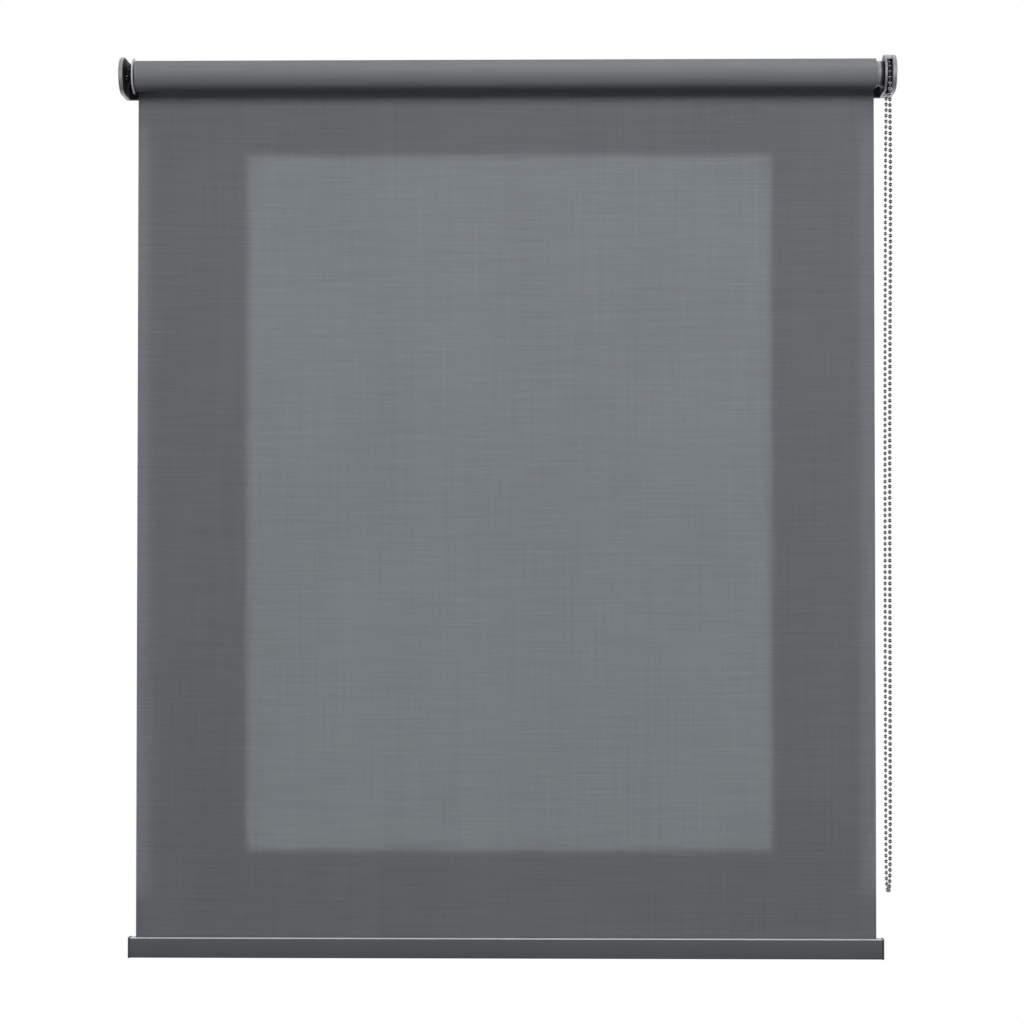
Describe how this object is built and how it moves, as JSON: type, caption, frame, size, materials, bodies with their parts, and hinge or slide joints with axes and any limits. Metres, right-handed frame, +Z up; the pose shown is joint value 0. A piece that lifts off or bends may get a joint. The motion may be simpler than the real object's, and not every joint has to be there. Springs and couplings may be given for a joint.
{
  "type": "roller blind",
  "caption": "Wall-mounted roller blind: fabric on a tube between two end brackets, bead-chain control at one end, weighted bottom rail.",
  "frame": {"origin": "on the wall plane, midway between the brackets' outer faces, at the height of the roller's axis", "axes": "+X along the roller towards the chain, +Y into the wall, +Z up"},
  "size_m": [0.823, 0.054, 0.9576],
  "materials": {
    "zinc_plate": "zinc plated steel",
    "silver_paint": "satin silver paint",
    "black_plastic": "matte black",
    "dark_plastic": "matte dark grey",
    "pale_plastic": "matte pale grey",
    "spring_steel": "drawn wire",
    "bead_chrome": "bright",
    "rail_paint": "satin grey powder coat",
    "anthracite_fabric": "fine plain weave, light passes through"
  },
  "bodies": {
    "mount_frame": {"left_bracket": "zinc_plate", "left_cover": "silver_paint", "left_bearing_insert": "black_plastic", "right_bracket": "zinc_plate", "control_cover": "silver_paint", "control_housing": "silver_paint", "control_core": "black_plastic", "core_screw": "zinc_plate", "wrap_spring_inner": "spring_steel", "wrap_spring_outer": "spring_steel"},
    "roller": {"roller_tube": "zinc_plate", "fabric_tape": "pale_plastic", "fabric_roll": "anthracite_fabric", "idle_plug": "black_plastic", "idle_flange": "pale_plastic", "drive_adapter": "pale_plastic"},
    "idle_pin": {"idle_pin": "zinc_plate", "idle_pin_spring": "spring_steel"},
    "drive_wheel": {"chain_wheel": "black_plastic", "drive_hub": "dark_plastic"},
    "chain_loop": {"chain_on_wheel": "bead_chrome", "chain_front_strand": "bead_chrome", "chain_back_strand": "bead_chrome", "chain_connector": "bead_chrome"},
    "bottom_rail": {"bottom_rail": "rail_paint", "rail_cap_left": "dark_plastic", "rail_cap_right": "dark_plastic", "fabric_keeper": "pale_plastic", "fabric_sheet": "anthracite_fabric"}
  },
  "joints": [
    {"name": "roller_turn", "type": "hinge", "parent": "mount_frame", "child": "roller", "pos_m": [0, -0.034, 0], "axis": [1, 0, 0], "range_deg": [-3015, 3127.5]},
    {"name": "chain_wheel_turn", "type": "hinge", "parent": "mount_frame", "child": "drive_wheel", "pos_m": [0.4038, -0.034, 0], "axis": [1, 0, 0], "range_deg": [-3015, 3127.5]},
    {"name": "rail_lift", "type": "slide", "parent": "mount_frame", "child": "bottom_rail", "axis": [0, 0, 1], "range_m": [-0.858, 0.89], "deforming": ["fabric_sheet"]},
    {"name": "idle_pin_slide", "type": "slide", "parent": "roller", "child": "idle_pin", "axis": [1, 0, 0], "range_m": [0, 0.005], "stiffness_N_per_m": 600, "springref_m": -0.006, "deforming": ["idle_pin_spring"]},
    {"name": "chain_swing", "type": "hinge", "parent": "mount_frame", "child": "chain_loop", "pos_m": [0.4038, -0.034, 0], "axis": [1, 0, 0], "range_deg": [-22.5, 1]}
  ],
  "couplings": [
    {"joint": "chain_wheel_turn", "follows": "roller_turn", "ratio": 1},
    {"joint": "rail_lift", "follows": "roller_turn", "m_per_rad": 0.0163}
  ]
}
